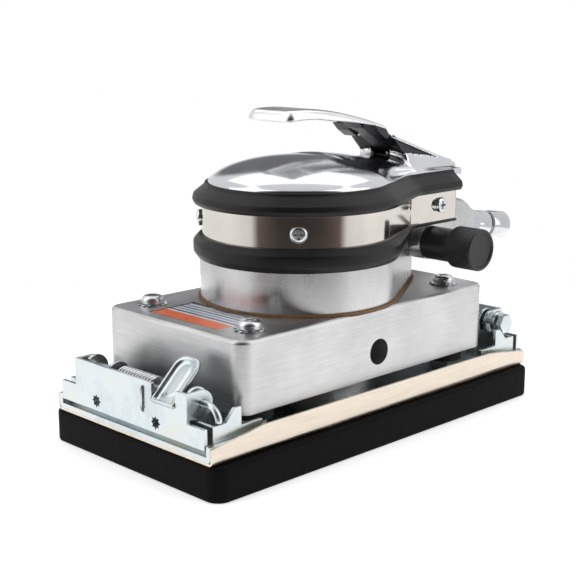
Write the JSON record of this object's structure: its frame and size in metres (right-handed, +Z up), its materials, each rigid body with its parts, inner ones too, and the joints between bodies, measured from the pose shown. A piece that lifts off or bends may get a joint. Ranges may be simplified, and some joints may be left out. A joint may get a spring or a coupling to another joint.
{
  "type": "orbital sander",
  "caption": "Air-powered palm orbital sander with a rectangular rubber pad, spring sheet clamps, domed head and palm throttle lever.",
  "frame": {"origin": "centre of the rubber pad's working face, which lies on the work", "axes": "+Z up, away from the work; +X along the pad towards the air inlet; the speed regulator is on the -Y side"},
  "size_m": [0.2331, 0.101, 0.132],
  "materials": {
    "pad_rubber": "matt moulded rubber",
    "leg_rubber": "satin rubber",
    "grip_rubber": "satin moulded rubber",
    "flange_steel": "warm satin rolled steel",
    "zinc_steel": "bright zinc plate, faintly blue",
    "cast_aluminium": "satin, fine linear grain",
    "body_aluminium": "satin casting, slightly pitted",
    "polished_aluminium": "polished",
    "band_steel": "bright polished stainless band",
    "lever_nickel": "bright nickel plate",
    "screw_chrome": "bright plated",
    "fitting_chrome": "bright chrome plate",
    "black_plastic": "fine moulded black",
    "block_black": "black finished metal",
    "gasket_fibre": "pressed brown fibre",
    "label_film": "printed film with plain colour blocks",
    "hard_steel": "ground steel",
    "cast_iron": "machined",
    "vane_composite": "resin-bonded fabric",
    "bronze": "sintered bronze",
    "seal_rubber": "smooth rubber"
  },
  "bodies": {
    "housing": {"lower_housing": "cast_aluminium", "label_plate": "label_film", "housing_screws": "screw_chrome", "toothed_washers": "screw_chrome", "housing_gasket": "gasket_fibre", "motor_body": "body_aluminium", "cylinder_liner": "hard_steel", "lower_end_plate": "cast_iron", "upper_end_plate": "cast_iron", "lower_bearing": "hard_steel", "upper_bearing": "hard_steel", "steel_band": "band_steel", "band_screws": "screw_chrome", "lower_grip_ring": "grip_rubber", "upper_grip_ring": "grip_rubber", "head_cap": "polished_aluminium", "valve_block": "block_black", "lever_pin": "hard_steel", "valve_seat": "bronze", "valve_seal": "seal_rubber", "valve_spring": "hard_steel", "regulator_sleeve": "black_plastic", "inlet_bushing": "fitting_chrome", "inlet_fitting": "fitting_chrome", "inlet_screen": "bronze", "exhaust_muffler": "bronze"},
    "throttle": {"throttle_lever": "lever_nickel"},
    "valve": {"valve_stem": "hard_steel"},
    "regulator": {"regulator_knob": "black_plastic", "regulator_spindle": "hard_steel"},
    "crank": {"rotor": "hard_steel", "rotor_vanes": "vane_composite", "spindle": "hard_steel", "counterweight": "cast_iron", "counterweight_screws": "hard_steel"},
    "pad": {"rubber_pad": "pad_rubber", "flange_plate": "flange_steel", "carrier_plate": "zinc_steel", "bearing_hub": "cast_aluminium", "hub_screws": "screw_chrome", "crank_pin_bearing": "hard_steel", "support_legs": "leg_rubber", "leg_nuts": "zinc_steel", "front_clamp_bracket": "zinc_steel", "front_clamp_rod": "zinc_steel", "front_clamp_sleeve": "zinc_steel", "front_clamp_spring": "hard_steel", "rear_clamp_bracket": "zinc_steel", "rear_clamp_rod": "zinc_steel", "rear_clamp_sleeve": "zinc_steel", "rear_clamp_spring": "hard_steel"},
    "front_jaw": {"front_clamp_jaw": "zinc_steel", "front_thumb_lever": "zinc_steel"},
    "rear_jaw": {"rear_clamp_jaw": "zinc_steel", "rear_thumb_lever": "zinc_steel"}
  },
  "joints": [
    {"name": "spindle_spin", "type": "hinge", "parent": "housing", "child": "crank", "pos_m": [-0.0012, 0, 0.05], "axis": [0, 0, 1], "continuous": true},
    {"name": "pad_orbit", "type": "hinge", "parent": "crank", "child": "pad", "pos_m": [0, 0, 0.022], "axis": [0, 0, 1], "continuous": true},
    {"name": "lever_press", "type": "hinge", "parent": "housing", "child": "throttle", "pos_m": [0.062, 0, 0.107], "axis": [0, -1, 0], "range_deg": [0, 8], "stiffness_Nm_per_rad": 4, "springref_deg": -5.73},
    {"name": "valve_push", "type": "slide", "parent": "housing", "child": "valve", "axis": [0, 0, -1], "range_m": [0, 0.0014], "deforming": ["valve_spring"]},
    {"name": "regulator_turn", "type": "hinge", "parent": "housing", "child": "regulator", "pos_m": [0.055, -0.04, 0.0715], "axis": [0, -1, 0], "range_deg": [0, 270]},
    {"name": "front_clamp_open", "type": "hinge", "parent": "pad", "child": "front_jaw", "pos_m": [-0.0865, 0, 0.0324], "axis": [0, 1, 0], "range_deg": [0, 18], "stiffness_Nm_per_rad": 0.8, "springref_deg": -28.65},
    {"name": "rear_clamp_open", "type": "hinge", "parent": "pad", "child": "rear_jaw", "pos_m": [0.0865, 0, 0.0324], "axis": [0, -1, 0], "range_deg": [0, 18], "stiffness_Nm_per_rad": 0.8, "springref_deg": -28.65}
  ],
  "couplings": [
    {"joint": "pad_orbit", "follows": "spindle_spin", "ratio": -1},
    {"joint": "valve_push", "follows": "lever_press", "m_per_rad": 0.0095}
  ]
}
